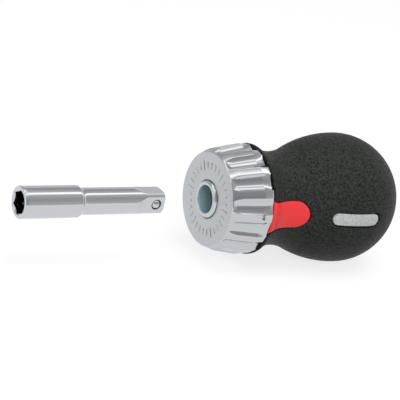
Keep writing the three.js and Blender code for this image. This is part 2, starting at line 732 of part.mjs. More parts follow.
function makePlungerSpring(degrees) {
  const spring = coil(gearMiddle, plungerSpringFrom, PLUNGER_SPRING_LENGTH, coilRadius(plungerHole));
  return turnedTo(spring, degrees);
}

// Handle: a hard core, the soft grip moulded over it and a blank label let into the grip.
// The grip's outline is a lip, a neck, a long flank and a half ball, all tangent arcs.
function lipOutline(inset) {
  const lip = lipRadius - inset;
  const lipEnd = handleFront + LIP_LENGTH;
  const neckWidth = NECK_PLACE - lipEnd;
  const neckDrop = lipRadius - LIP_EDGE - neckRadius;
  const radius = (neckWidth ** 2 + neckDrop ** 2) / (2 * neckDrop);
  const sweep = THREE.MathUtils.radToDeg(Math.asin(neckWidth / radius));
  return [
    [handleFront, 0],
    [handleFront, lip - LIP_EDGE],
    [handleFront + LIP_EDGE, lip],
    [lipEnd - LIP_EDGE, lip],
    ...arc(NECK_PLACE, neckRadius + radius, radius + inset, -90 - sweep, -90).slice(0, -1),
  ];
}

function flankOutline(inset) {
  const width = ballCentre - NECK_PLACE;
  const rise = BALL_RADIUS - neckRadius;
  const centres = (width ** 2 + rise ** 2) / (2 * rise);
  const flank = centres - NECK_CURVE;
  const sweep = THREE.MathUtils.radToDeg(Math.asin(width / centres));
  return [
    ...arc(NECK_PLACE, neckRadius + NECK_CURVE, NECK_CURVE + inset, -90, -90 + sweep),
    ...arc(ballCentre, BALL_RADIUS - flank, flank - inset, 90 + sweep, 90).slice(1),
    ...arc(ballCentre, 0, BALL_RADIUS - inset, 90, 0).slice(1, -1),
    [HANDLE_END - inset, 0],
  ];
}

function gripOutline(inset) {
  return [...lipOutline(inset), ...flankOutline(inset)];
}

// The core's outline behind its spigot; grown, it is the room for the core inside the grip
function coreOutline(grow) {
  const flangeEnd = handleFront + CORE_FLANGE + grow;
  const neckStart = flangeEnd + coreFlangeRadius - coreNeck;
  return [
    [handleFront - grow, 0],
    [handleFront - grow, coreFlangeRadius + grow],
    [flangeEnd, coreFlangeRadius + grow],
    [neckStart, coreNeck + grow],
    ...flankOutline(GRIP_WALL + SEAT - grow),
  ];
}

// The tongue of the core that shows through the grip
function tabOutline(grow) {
  const half = TAB_WIDTH / 2 + grow;
  const wide = half + TAB_FLARE;
  const flareEnd = handleFront + TAB_FLARE_LENGTH;
  const flareBend = handleFront + TAB_FLARE_LENGTH / 2;
  const round = TAB_END - TAB_WIDTH / 2;
  const shape = new THREE.Shape();
  shape.moveTo(handleFront - grow, -wide);
  shape.lineTo(handleFront, -wide);
  shape.quadraticCurveTo(flareBend, -half, flareEnd, -half);
  shape.lineTo(round, -half);
  shape.absarc(round, 0, half, -Math.PI / 2, Math.PI / 2, false);
  shape.lineTo(flareEnd, half);
  shape.quadraticCurveTo(flareBend, half, handleFront, wide);
  shape.lineTo(handleFront - grow, wide);
  return shape;
}

function labelOutline(grow) {
  const half = LABEL_WIDTH / 2 + grow;
  const straight = (LABEL_LENGTH - LABEL_WIDTH) / 2;
  const shape = new THREE.Shape();
  shape.absarc(LABEL_PLACE + straight, 0, half, -Math.PI / 2, Math.PI / 2, false);
  shape.absarc(LABEL_PLACE - straight, 0, half, Math.PI / 2, 1.5 * Math.PI, false);
  return shape;
}

const outside = BALL_RADIUS + RUN;

function makeHandleCore() {
  const tab = standing(tabOutline(0), coreBore, outside).intersect(turned(gripOutline(TAB_INSET)));
  const spigot = rod(spigotFront, handleFront + CORE_FLANGE / 2, spigotRadius, ROUND);
  const bore = rod(spigotFront - SEAT, sleeveRear + CORE_BORE_SPARE, coreBore, ROUND);
  const lock = spoke(lockPinPlace, -coreNeck - GRIP_WALL, coreNeck + GRIP_WALL, LOCK_PIN_RADIUS + FIT);
  return turned(coreOutline(0))
    .add(spigot)
    .add(tab)
    .subtract(bore)
    .subtract(turnedTo(lock, LOCK_PIN_ANGLE));
}

function makeSoftGrip() {
  const window = standing(tabOutline(SEAT), 0, outside);
  const floor = LABEL_SINK + LABEL_THICKNESS + SEAT;
  const recess = standing(labelOutline(SEAT), coreBall, outside).subtract(turned(gripOutline(floor)));
  return turned(gripOutline(0)).subtract(turned(coreOutline(SEAT))).subtract(window).subtract(recess);
}

function makeLabelPlate() {
  const plate = standing(labelOutline(0), coreBall, outside);
  return plate
    .intersect(turned(gripOutline(LABEL_SINK)))
    .subtract(turned(gripOutline(LABEL_SINK + LABEL_THICKNESS)));
}

// Assembly
const screwdriver = new THREE.Group();
screwdriver.position.set(-(bladeTip + HANDLE_END) / 2, 0, BALL_RADIUS);

const driveLine = new THREE.Group();
driveLine.rotation.x = radians(BLADE_ROLL);
driveLine.add(
  meshOf("blade_shank", makeBladeShank(), chrome),
  meshOf("bit_magnet", makeBitMagnet(), darkSteel),
  meshOf("bit_clip", makeBitClip(), steel),
  meshOf("blade_ball", makeBladeBall(), chrome),
  meshOf("blade_ball_spring", makeBladeSpring(), steel),
  meshOf("drive_spindle", makeDriveSpindle(), chrome),
);

screwdriver.add(
  driveLine,
  meshOf("ratchet_gear", makeRatchetGear(), steel),
  meshOf("thrust_washer", makeThrustWasher(), bronze),
  meshOf("bearing_bush", makeBearingBush(), bronze),
  meshOf("ratchet_body", makeRatchetBody(), steel),
  meshOf("front_plate", makeFrontPlate(), steel),
  meshOf("ring_retainer", makeRingRetainer(), darkSteel),
  meshOf("lock_pin", makeLockPin(), steel),
  meshOf("selector_ring", makeSelectorRing(), satinChrome),
  meshOf("click_ball", makeClickBall(), steel),
  meshOf("click_spring", makeClickSpring(), steel),
  meshOf("handle_core", makeHandleCore(), redPlastic),
  meshOf("soft_grip", makeSoftGrip(), blackRubber),
  meshOf("label_plate", makeLabelPlate(), greyPlastic),
);

for (const [number, degrees] of Object.entries(PLATE_SCREW_ANGLES)) {
  screwdriver.add(meshOf(`plate_screw_${number}`, makePlateScrew(degrees), darkSteel));
}

for (const [number, degrees] of Object.entries(PAWL_ANGLES)) {
  screwdriver.add(
    meshOf(`pawl_${number}`, makePawl(degrees), steel),
    meshOf(`pawl_pin_${number}`, makePawlPin(degrees), darkSteel),
    meshOf(`plunger_${number}`, makePlunger(degrees), steel),
    meshOf(`plunger_spring_${number}`, makePlungerSpring(degrees), steel),
  );
}

export default screwdriver;
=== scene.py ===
import json
import math

import bmesh
import bpy
import numpy as np
from mathutils import Matrix, Vector


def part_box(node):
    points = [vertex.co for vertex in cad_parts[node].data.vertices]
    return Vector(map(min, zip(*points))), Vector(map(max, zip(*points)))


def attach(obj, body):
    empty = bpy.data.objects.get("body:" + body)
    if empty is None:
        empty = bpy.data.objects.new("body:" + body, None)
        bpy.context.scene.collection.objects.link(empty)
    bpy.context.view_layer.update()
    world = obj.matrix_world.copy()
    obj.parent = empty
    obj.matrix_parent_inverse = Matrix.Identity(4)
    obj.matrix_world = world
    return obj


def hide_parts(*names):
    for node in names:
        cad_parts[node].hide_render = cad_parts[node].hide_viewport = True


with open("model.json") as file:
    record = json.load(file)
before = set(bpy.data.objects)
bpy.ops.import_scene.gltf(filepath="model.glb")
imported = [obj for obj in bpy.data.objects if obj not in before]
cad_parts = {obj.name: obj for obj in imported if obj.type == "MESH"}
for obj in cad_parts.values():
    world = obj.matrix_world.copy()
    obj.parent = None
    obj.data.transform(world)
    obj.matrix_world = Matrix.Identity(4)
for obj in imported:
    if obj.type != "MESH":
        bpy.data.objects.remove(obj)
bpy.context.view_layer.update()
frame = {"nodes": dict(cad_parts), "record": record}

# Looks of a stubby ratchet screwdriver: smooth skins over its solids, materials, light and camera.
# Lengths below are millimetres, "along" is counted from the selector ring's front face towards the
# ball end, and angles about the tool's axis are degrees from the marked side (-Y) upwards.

MM = 0.001


def millimetres(node):
    low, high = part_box(node)
    return np.array(low) / MM, np.array(high) / MM


ring_low, ring_high = millimetres("selector_ring")
grip_low, grip_high = millimetres("soft_grip")
blade_low, blade_high = millimetres("blade_shank")
spindle_low, spindle_high = millimetres("drive_spindle")
ball_low, ball_high = millimetres("blade_ball")
magnet_low = millimetres("bit_magnet")[0]
label_low, label_high = millimetres("label_plate")

FACE_X = ring_low[0]
AXIS_Z = (grip_low[2] + grip_high[2]) / 2

# Selector ring
RING_LENGTH = ring_high[0] - ring_low[0]
RING_RADIUS = ring_high[1]
RING_DRAFT = 1.15
RING_BEVEL = 1.4
RING_BEVEL_LENGTH = 3.4
RING_BEVEL_CROWN = 0.15
RING_FACE_EDGE = 0.35
RING_REAR_BAND = 2.85
RING_REAR_TAPER = 0.2
RING_CREASE = 0.03  # share of the rear band that its front crease takes on either side
RING_BORE = 5.9
RING_INNER = 13.25
RING_FRONT_WALL = 2.4
FLUTES = 14
FLUTE_DEPTH = 1.1
FLUTE_RADIUS = 4.0
FLUTE_RISE = 0.5  # share of the depth that a flute loses over the rear band
FLUTE_COLUMNS = 22
LAND_COLUMNS = 6
RING_SOFT = 0.09  # rounding of the edges
RING_SHARP = 14  # degrees between two faces that make an edge
INDEX_PLACE = 9.2
INDEX_TURN = 2.0  # degrees from the marked side
INDEX_LENGTH = 2.4
INDEX_WIDTH = 2.0
INDEX_DEPTH = 0.6
INDEX_POINT_SHARE = 0.1  # of the depth, at the point
TICKS = 30
TICKS_PER_LONG = 5
TICK_RADIUS = 10.1
TICK_LENGTH = 2.0
TICK_EXTRA = 1.0
TICK_WIDTH = 0.55
TICK_HEIGHT = 0.15

# Handle
HANDLE_FRONT = grip_low[0] - FACE_X
HANDLE_END = grip_high[0] - FACE_X
BALL_RADIUS = (grip_high[2] - grip_low[2]) / 2
BALL_CENTRE = HANDLE_END - BALL_RADIUS
LIP_RADIUS = RING_RADIUS
LIP_LENGTH = 1.1
LIP_EDGE = 0.25
NECK_PLACE = 21.5
NECK_RADIUS = 14.25
NECK_CURVE = 17.0
GRIP_WALL = 2.3
TAB_WIDTH = 8.5
TAB_FLARE = 1.05
TAB_FLARE_LENGTH = 3.2
TAB_END = 27.5
TAB_GAP = 0.16
TAB_EDGE = 0.35
TAB_INSET = 0.05
TAB_DIP = 0.5
TAB_DIP_LENGTH = 1.8
WINDOW_EDGE = 0.5
CORE_DEPTH = 10.5  # where the tongue ends inside, from the axis
CORE_GAP = 0.3
CORE_SETBACK = 0.1
CORE_BORE = 9.6
CORE_BORE_END = 27.4
CORE_COLUMNS = 72
CORE_ROWS = 30
LABEL_PLACE = (label_low[0] + label_high[0]) / 2 - FACE_X
LABEL_LENGTH = label_high[0] - label_low[0]
LABEL_WIDTH = label_high[2] - label_low[2]
LABEL_SINK = 0.35
LABEL_THICKNESS = 0.6
LABEL_TRIM = 0.1
LABEL_GAP = 0.42
LABEL_EDGE = 0.22
LABEL_SPARE = 0.3  # free depth under it
MARKED_SIDE = 40  # degrees either side that hold the tongue and the label
DENSE_SIDE = 30  # degrees either side with close columns
DENSE_STEP = 0.6
PLAIN_STEP = 3.0
DENSE_END = 55.0  # close rows from the front to here
DENSE_ROW = 0.3
BALL_ROWS = np.arange(29.5, 89.6, 2.0)  # degrees round the half ball

# Blade
BLADE_TIP = blade_low[0] - FACE_X
BLADE_END = blade_high[0] - FACE_X
BIT_SOCKET_RADIUS = 4.75
BIT_SOCKET_LENGTH = 18.0
BIT_SOCKET_EDGE = 0.24
BIT_SOCKET_ROUND = 1.0  # at its rear end
FILLET_LENGTH = 2.1  # from the socket to the plain shaft
FILLET_POINTS = [(1.6, 0.03), (1.25, 0.12)]  # behind the socket, and above the shaft
SHAFT_RADIUS = 4.0
SQUARE = 6.35
FLAT_LENGTH = 5.95  # at the corners
FLAT_REACH = 1.2  # how much further a flat goes in its middle
FLAT_POINT = 1.3  # 1 gives the flat a pointed end, 2 a round one
RUN_OUT_SLOPE = 0.35
SQUARE_EDGE = 0.45
BLADE_ROLL = -4.0
HEX = 6.4
HEX_LEAD = 0.35
HEX_LEAD_WIDTH = 0.08
HEX_FLOOR = magnet_low[0] - FACE_X
MAGNET_HOLE = 2.65
MAGNET_HOLE_DEPTH = 3.1
BALL_HOLE = 1.6
BALL_HOLE_FLOOR = -0.4  # from the axis
BLADE_SOFT = 0.05
BLADE_SHARP = 24

# Spindle
SPINDLE_NOSE = spindle_low[0] - FACE_X
SPINDLE_REAR = spindle_high[0] - FACE_X
SPINDLE_RADIUS = 5.7
PILOT_RADIUS = 4.15
PILOT_DEPTH = 11.3
SQUARE_SOCKET = 6.65
SQUARE_SOCKET_REAR = 18.0
SPINDLE_EDGE = 0.9
SPINDLE_MOUTH = 0.4

# How far cutters stand out of the surface they cut
CUT_CLEAR = 1.0
CUT_ABOVE = 3.0


# Mesh helpers
def place(along, radius, degrees):
    """A point at a place along the tool, a radius and an angle, in metres."""
    angle = math.radians(degrees)
    across = -radius * math.cos(angle)
    up = AXIS_Z + radius * math.sin(angle)
    return Vector((FACE_X + along, across, up)) * MM


def flat_place(along, across, out):
    """A point at a place along the tool, a height beside its axis and a distance out of the marked side."""
    return Vector((FACE_X + along, -out, AXIS_Z + across)) * MM


def new_object(name, points, faces, sharp_degrees=30):
    mesh = bpy.data.meshes.new(name)
    mesh.from_pydata([tuple(point) for point in points], [], faces)
    mesh.validate()
    tidy = bmesh.new()
    tidy.from_mesh(mesh)
    bmesh.ops.remove_doubles(tidy, verts=tidy.verts, dist=MM * 1e-4)
    bmesh.ops.recalc_face_normals(tidy, faces=tidy.faces)
    tidy.to_mesh(mesh)
    tidy.free()
    obj = bpy.data.objects.new(name, mesh)
    bpy.context.scene.collection.objects.link(obj)
    smooth(obj, sharp_degrees)
    return obj


def smooth(obj, sharp_degrees):
    obj.data.polygons.foreach_set("use_smooth", [True] * len(obj.data.polygons))
    obj.data.set_sharp_from_angle(angle=math.radians(sharp_degrees))


def swept(name, angles, column, closed_profile=False, sharp_degrees=30):
    """A surface round the axis. column(angle) gives that angle's profile as (along, radius) pairs."""
    columns = [[place(along, radius, angle) for along, radius in column(angle)] for angle in angles]
    rows = len(columns[0])
    points = [point for profile in columns for point in profile]
    faces = []
    steps = rows if closed_profile else rows - 1
    for i in range(len(columns)):
        here, beside = i * rows, ((i + 1) % len(columns)) * rows
        for k in range(steps):
            after = (k + 1) % rows
            faces.append((here + k, here + after, beside + after, beside + k))
    return new_object(name, points, faces, sharp_degrees)


def even_angles(count):
    return [360 * i / count for i in range(count)]


def arc(centre_along, centre_radius, radius, start, end, steps):
    angles = np.radians(np.linspace(start, end, steps + 1))
    return [(centre_along + radius * math.cos(a), centre_radius + radius * math.sin(a)) for a in angles]


def line(first, last, steps):
    return [tuple(np.array(first) + (np.array(last) - first) * k / steps) for k in range(steps + 1)]


def applied(obj, modifier_type, **settings):
    """Adds a modifier, sets it and applies it."""
    modifier = obj.modifiers.new(modifier_type.title(), modifier_type)
    for name, value in settings.items():
        setattr(modifier, name, value)
    depsgraph = bpy.context.evaluated_depsgraph_get()
    mesh = bpy.data.meshes.new_from_object(obj.evaluated_get(depsgraph))
    obj.modifiers.remove(modifier)
    old = obj.data
    obj.data = mesh
    bpy.data.meshes.remove(old)
    return obj


def combine(obj, tool, operation):
    """Joins or cuts with another closed mesh, which is then deleted."""
    applied(obj, "BOOLEAN", object=tool, operation=operation, solver="EXACT")
    mesh = tool.data
    bpy.data.objects.remove(tool)
    bpy.data.meshes.remove(mesh)
    return obj


SOFT_SPREAD = 10  # degrees added to the edge angle once edges are rounded


def soften(obj, width, sharp_degrees=30, segments=2):
    """Rounds the sharp edges."""
    applied(
        obj, "BEVEL", width=width * MM, segments=segments, limit_method="ANGLE",
        angle_limit=math.radians(sharp_degrees), use_clamp_overlap=True, harden_normals=False,
    )
    smooth(obj, sharp_degrees + SOFT_SPREAD)
    return obj


# Selector ring: each column is a closed profile, and the rows bend with the flutes' front ends
def ring_land(along):
    """The lands' straight outer line, carried on over the bevel, then the tapered rear band."""
    band = RING_LENGTH - RING_REAR_BAND
    if along <= band:
        return RING_RADIUS - RING_DRAFT * (band - along) / (band - RING_BEVEL_LENGTH)
    return RING_RADIUS - RING_REAR_TAPER * (along - band) / RING_REAR_BAND


def ring_bevel(along):
    share = along / RING_BEVEL_LENGTH
    shoulder = RING_RADIUS - RING_DRAFT
    return shoulder - RING_BEVEL * (1 - share) + 4 * RING_BEVEL_CROWN * share * (1 - share)


def flute_drop(degrees):
    """How far a flute lies under the lands at an angle. A land's middle lies on the marked side."""
    pitch = 360 / FLUTES
    off = math.radians((degrees % pitch) - pitch / 2)
    centre = RING_RADIUS - FLUTE_DEPTH + FLUTE_RADIUS
    inside = FLUTE_RADIUS ** 2 - (centre * math.sin(off)) ** 2
    if inside <= 0:
        return 0.0
    return max(0.0, RING_RADIUS - (centre * math.cos(off) - math.sqrt(inside)))


def bevel_end(drop):
    """Where the bevel meets a surface that lies that far under the lands."""
    low, high = 0.0, RING_BEVEL_LENGTH
    for _ in range(40):
        middle = (low + high) / 2
        if ring_bevel(middle) < ring_land(middle) - drop:
            low = middle
        else:
            high = middle
    return low


def ring_column(degrees):
    drop = flute_drop(degrees)
    leaves = max(bevel_end(drop), RING_FACE_EDGE + 0.02)
    band = RING_LENGTH - RING_REAR_BAND
    rim = ring_bevel(RING_FACE_EDGE)
    profile = line((0, RING_BORE), (0, rim - RING_FACE_EDGE), 6)
    profile += arc(RING_FACE_EDGE, rim - RING_FACE_EDGE, RING_FACE_EDGE, 165, 105, 3)
    profile += [(a, ring_bevel(a)) for a in np.linspace(RING_FACE_EDGE, leaves, 7)]
    crease = RING_CREASE * RING_REAR_BAND
    profile += [(a, ring_land(a) - drop) for a in np.linspace(leaves, band - crease, 9)[1:]]
    for share in (0, RING_CREASE, 1 / 3, 2 / 3, 1):
        along = band + RING_REAR_BAND * share
        profile.append((along, ring_land(along) - drop * (1 - FLUTE_RISE * share)))
    profile += [(RING_LENGTH, RING_INNER), (RING_FRONT_WALL, RING_INNER), (RING_FRONT_WALL, RING_BORE)]
    return profile


def flute_angles():
    pitch = 360 / FLUTES
    centre = RING_RADIUS - FLUTE_DEPTH + FLUTE_RADIUS
    reach = (centre ** 2 + RING_RADIUS ** 2 - FLUTE_RADIUS ** 2) / (2 * centre * RING_RADIUS)
    half = math.degrees(math.acos(reach))
    within = list(np.linspace(-half, half, FLUTE_COLUMNS + 1))
    between = list(np.linspace(half, pitch - half, LAND_COLUMNS + 1))[1:-1]
    one = within + between
    return [pitch * (flute + 0.5) + angle for flute in range(FLUTES) for angle in one]


def prism(name, corners, low, high):
    """A closed prism between two lists of corners, made by two functions of a corner."""
    count = len(corners)
    points = [low(corner) for corner in corners] + [high(corner) for corner in corners]
    faces = [tuple(range(count)), tuple(range(2 * count - 1, count - 1, -1))]
    faces += [(i, (i + 1) % count, count + (i + 1) % count, count + i) for i in range(count)]
    return new_object(name, points, faces)


def index_cutter():
    """The engraved pointer on the land beside the tongue: its floor rises from the base to the point."""
    half = math.degrees(INDEX_WIDTH / 2 / RING_RADIUS)
    base, point = INDEX_PLACE + INDEX_LENGTH / 2, INDEX_PLACE - INDEX_LENGTH / 2
    corners = [
        (base, INDEX_TURN - half, INDEX_DEPTH),
        (base, INDEX_TURN + half, INDEX_DEPTH),
        (point, INDEX_TURN, INDEX_DEPTH * INDEX_POINT_SHARE),
    ]
    return prism(
        "index_cutter", corners,
        lambda c: place(c[0], ring_land(c[0]) - c[2], c[1]),
        lambda c: place(c[0], RING_RADIUS + CUT_CLEAR, c[1]),
    )


def face_ticks():
    """Plain raised strokes round the front face, some of them longer."""
    ticks = []
    for i in range(TICKS):
        reach = TICK_LENGTH / 2 + (TICK_EXTRA / 2 if i % TICKS_PER_LONG == 0 else 0)
        angle = 360 * i / TICKS
        corners = []
        for radius, side in ((-reach, -1), (reach, -1), (reach, 1), (-reach, 1)):
            distance = TICK_RADIUS + radius
            corners.append((distance, angle + side * math.degrees(TICK_WIDTH / 2 / distance)))
        ticks.append(prism(
            "tick", corners,
            lambda c: place(TICK_HEIGHT, c[0], c[1]),
            lambda c: place(-TICK_HEIGHT, c[0], c[1]),
        ))
    joined = bmesh.new()
    for tick in ticks:
        joined.from_mesh(tick.data)
        mesh = tick.data
        bpy.data.objects.remove(tick)
        bpy.data.meshes.remove(mesh)
    mesh = bpy.data.meshes.new("face_ticks")
    joined.to_mesh(mesh)
    joined.free()
    obj = bpy.data.objects.new("face_ticks", mesh)
    bpy.context.scene.collection.objects.link(obj)
    return soften(obj, TICK_HEIGHT / 3)


def make_ring():
    ring = swept("ring_skin", flute_angles(), ring_column, closed_profile=True, sharp_degrees=RING_SHARP)
    soften(ring, RING_SOFT, RING_SHARP)
    combine(ring, index_cutter(), "DIFFERENCE")
    combine(ring, face_ticks(), "UNION")
    smooth(ring, RING_SHARP + SOFT_SPREAD)
    return ring


# Grip
def grip_radius(along, inset=0.0):
    """The grip's outline, a lip, a neck, a flank and a half ball of tangent arcs, or a curve inside it."""
    lip_end = HANDLE_FRONT + LIP_LENGTH
    width, drop = NECK_PLACE - lip_end, LIP_RADIUS - LIP_EDGE - NECK_RADIUS
    front = (width ** 2 + drop ** 2) / (2 * drop)
    flank_width, rise = BALL_CENTRE - NECK_PLACE, BALL_RADIUS - NECK_RADIUS
    centres = (flank_width ** 2 + rise ** 2) / (2 * rise)
    flank = centres - NECK_CURVE
    turn = NECK_PLACE + flank_width * NECK_CURVE / centres
    if along <= lip_end:
        off_crown = max(0.0, (along - (HANDLE_FRONT + lip_end) / 2) / (LIP_LENGTH / 2))
        return LIP_RADIUS - inset - LIP_EDGE * off_crown ** 2
    if along <= NECK_PLACE:
        return NECK_RADIUS + front - math.sqrt((front + inset) ** 2 - (along - NECK_PLACE) ** 2)
    if along <= turn:
        hollow = NECK_CURVE + inset
        return NECK_RADIUS + NECK_CURVE - math.sqrt(hollow ** 2 - (along - NECK_PLACE) ** 2)
    if along <= BALL_CENTRE:
        return BALL_RADIUS - flank + math.sqrt((flank - inset) ** 2 - (along - BALL_CENTRE) ** 2)
    return math.sqrt(max(0.0, (BALL_RADIUS - inset) ** 2 - (along - BALL_CENTRE) ** 2))


def tab_half(along):
    """Half the tongue's width at a place along it."""
    half = TAB_WIDTH / 2
    round_start = TAB_END - half
    if along >= round_start:
        return math.sqrt(max(0.0, half ** 2 - (along - round_start) ** 2))
    flare = max(0.0, 1 - (along - HANDLE_FRONT) / TAB_FLARE_LENGTH)
    return half + TAB_FLARE * flare ** 2


def tab_distance(along, across):
    """Distance from the tongue's outline, minus inside it."""
    half = TAB_WIDTH / 2
    round_start = TAB_END - half
    if along > round_start:
        return math.hypot(along - round_start, across) - half
    return abs(across) - tab_half(along)


def label_distance(along, across):
    half = LABEL_WIDTH / 2
    straight = LABEL_LENGTH / 2 - half
    beyond = max(0.0, abs(along - LABEL_PLACE) - straight)
    return math.hypot(beyond, across) - half


def rounded(distance, edge):
    """How far a rounded edge has dropped at a distance from where it ends."""
    if distance >= edge:
        return 0.0
    return edge - math.sqrt(max(0.0, edge ** 2 - (edge - max(distance, 0.0)) ** 2))


def grip_drop(along, radius, degrees):
    """The soft rounding of the grip's edge round the tongue and the label."""
    if abs(degrees) > MARKED_SIDE:
        return 0.0
    across = radius * math.sin(math.radians(degrees))
    window = rounded(tab_distance(along, across) - TAB_GAP, WINDOW_EDGE)
    recess = rounded(label_distance(along, across) - LABEL_GAP, WINDOW_EDGE)
    return window + recess


def grip_angles():
    dense = list(np.arange(-DENSE_SIDE, DENSE_SIDE + 0.01, DENSE_STEP))
    return dense + list(np.arange(DENSE_SIDE + PLAIN_STEP, 359 - DENSE_SIDE, PLAIN_STEP))


def grip_places():
    dense = list(np.arange(HANDLE_FRONT, DENSE_END, DENSE_ROW))
    ball = [BALL_CENTRE + BALL_RADIUS * math.sin(math.radians(a)) for a in BALL_ROWS]
    return dense + [along for along in ball if along > dense[-1] + 0.2]


def grip_column(degrees):
    turned = degrees if degrees <= 180 else degrees - 360
    outer = []
    for along in grip_places():
        radius = grip_radius(along)
        outer.append((along, radius - grip_drop(along, radius, turned)))
    outer.append((HANDLE_END, 0.0))
    inner_end = HANDLE_END - GRIP_WALL
    inner = [(a, grip_radius(a, GRIP_WALL)) for a in np.linspace(NECK_PLACE, inner_end - 0.4, 24)]
    inner = [(inner_end, 0.0)] + inner[::-1]
    start = (HANDLE_FRONT, NECK_RADIUS - GRIP_WALL)
    return outer + inner + [start]


def block(name, grid, top, bottom, sharp_degrees=35):
    """A closed block over a grid, whose top and bottom are distances out of the marked side."""
    rows, columns = len(grid), len(grid[0])
    upper = [flat_place(a, w, top(a, w)) for row in grid for a, w in row]
    lower = [flat_place(a, w, bottom(a, w)) for row in grid for a, w in row]
    size = rows * columns
    faces = []
    for i in range(rows - 1):
        for k in range(columns - 1):
            quad = (i * columns + k, i * columns + k + 1, (i + 1) * columns + k + 1, (i + 1) * columns + k)
            faces.append(quad)
            faces.append(tuple(size + v for v in reversed(quad)))
    rim = list(range(columns))
    rim += [i * columns + columns - 1 for i in range(1, rows)]
    rim += [(rows - 1) * columns + k for k in range(columns - 2, -1, -1)]
    rim += [i * columns for i in range(rows - 2, 0, -1)]
    for a, b in zip(rim, rim[1:] + rim[:1]):
        faces.append((a, b, size + b, size + a))
    return new_object(name, upper + lower, faces, sharp_degrees)


def surface_out(along, across, inset=0.0):
    """How far the grip's surface, or a curve inside it, stands out of the marked side."""
    return math.sqrt(max(0.01, (grip_radius(along) - inset) ** 2 - across ** 2))


def rounded_places(start, straight_end, end, straight_rows, round_rows):
    """Places along a tongue: even on its straight part and by angle round its end."""
    straight = list(np.linspace(start, straight_end, straight_rows + 1))
    sweep = np.radians(np.linspace(0, 90, round_rows + 1)[1:])
    return straight + [straight_end + (end - straight_end) * math.sin(a) for a in sweep]


def grid_over(places, half_of, columns):
    shares = [math.sin(math.radians(a)) for a in np.linspace(-90, 90, columns + 1)]
    return [[(along, half_of(along) * share) for share in shares] for along in places]


def tab_grid(grow, front):
    straight_end = TAB_END - TAB_WIDTH / 2

    def half(along):
        if along <= straight_end:
            return tab_half(max(along, HANDLE_FRONT)) + grow
        reach = TAB_WIDTH / 2 + grow
        return max(0.02, math.sqrt(max(0.0, reach ** 2 - (along - straight_end) ** 2)))

    places = rounded_places(HANDLE_FRONT - front, straight_end, TAB_END + grow, 40, 24)
    return grid_over(places, half, 40)


def label_grid(grow):
    half_width = LABEL_WIDTH / 2 + grow
    straight = (LABEL_LENGTH - LABEL_WIDTH) / 2
    ahead = rounded_places(LABEL_PLACE, LABEL_PLACE + straight, LABEL_PLACE + straight + half_width, 20, 16)
    behind = [2 * LABEL_PLACE - along for along in reversed(ahead[1:])]

    def half(along):
        beyond = max(0.0, abs(along - LABEL_PLACE) - straight)
        return max(0.02, math.sqrt(max(0.0, half_width ** 2 - beyond ** 2)))

    return grid_over(behind + ahead, half, 24)


def make_grip():
    grip = swept("grip_skin", grip_angles(), grip_column, closed_profile=True, sharp_degrees=40)
    window = block(
        "window_cutter", tab_grid(TAB_GAP, 1.0),
        lambda a, w: surface_out(max(a, HANDLE_FRONT), w) + CUT_ABOVE, lambda a, w: CORE_DEPTH - 1,
    )
    combine(grip, window, "DIFFERENCE")
    floor = LABEL_SINK + LABEL_THICKNESS + LABEL_SPARE
    recess = block(
        "label_cutter", label_grid(LABEL_GAP),
        lambda a, w: surface_out(a, w) + CUT_ABOVE, lambda a, w: surface_out(a, w, floor),
    )
    combine(grip, recess, "DIFFERENCE")
    smooth(grip, 40)
    return grip


def tab_inset(along):
    """How far the tongue lies under the grip's outline: it dips towards the ring."""
    return TAB_INSET + TAB_DIP * max(0.0, 1 - (along - HANDLE_FRONT) / TAB_DIP_LENGTH)


def make_tab():
    """The red core: a turned body inside the grip and the tongue that shows through it."""
    inset = GRIP_WALL + CORE_GAP
    front = HANDLE_FRONT + CORE_SETBACK
    places = np.linspace(NECK_PLACE, HANDLE_END - inset - 0.3, CORE_ROWS)
    profile = [(front, CORE_BORE), (front, NECK_RADIUS - inset)]
    profile += [(along, grip_radius(along, inset)) for along in places]
    profile += [(HANDLE_END - inset, 0.0), (CORE_BORE_END, 0.0), (CORE_BORE_END, CORE_BORE)]
    core = swept(
        "core_skin", even_angles(CORE_COLUMNS), lambda degrees: profile,
        closed_profile=True, sharp_degrees=40,
    )
    tab = block(
        "tab_tongue", tab_grid(0.0, 0.0),
        lambda a, w: surface_out(a, w, tab_inset(a) + rounded(-tab_distance(a, w), TAB_EDGE)),
        lambda a, w: CORE_DEPTH,
    )
    combine(core, tab, "UNION")
    smooth(core, 40)
    return core


def label_inset(along, across):
    """How far the label lies under the grip's outline, with its rounded edge."""
    return LABEL_SINK + rounded(-LABEL_TRIM - label_distance(along, across), LABEL_EDGE)


def make_label():
    return block(
        "label_skin", label_grid(-LABEL_TRIM),
        lambda a, w: surface_out(a, w, label_inset(a, w)),
        lambda a, w: surface_out(a, w, LABEL_SINK + LABEL_THICKNESS),
    )


# Blade
def off_flat(degrees):
    """Angle from the middle of the nearest flat of the square."""
    return (degrees - BLADE_ROLL + 45) % 90 - 45


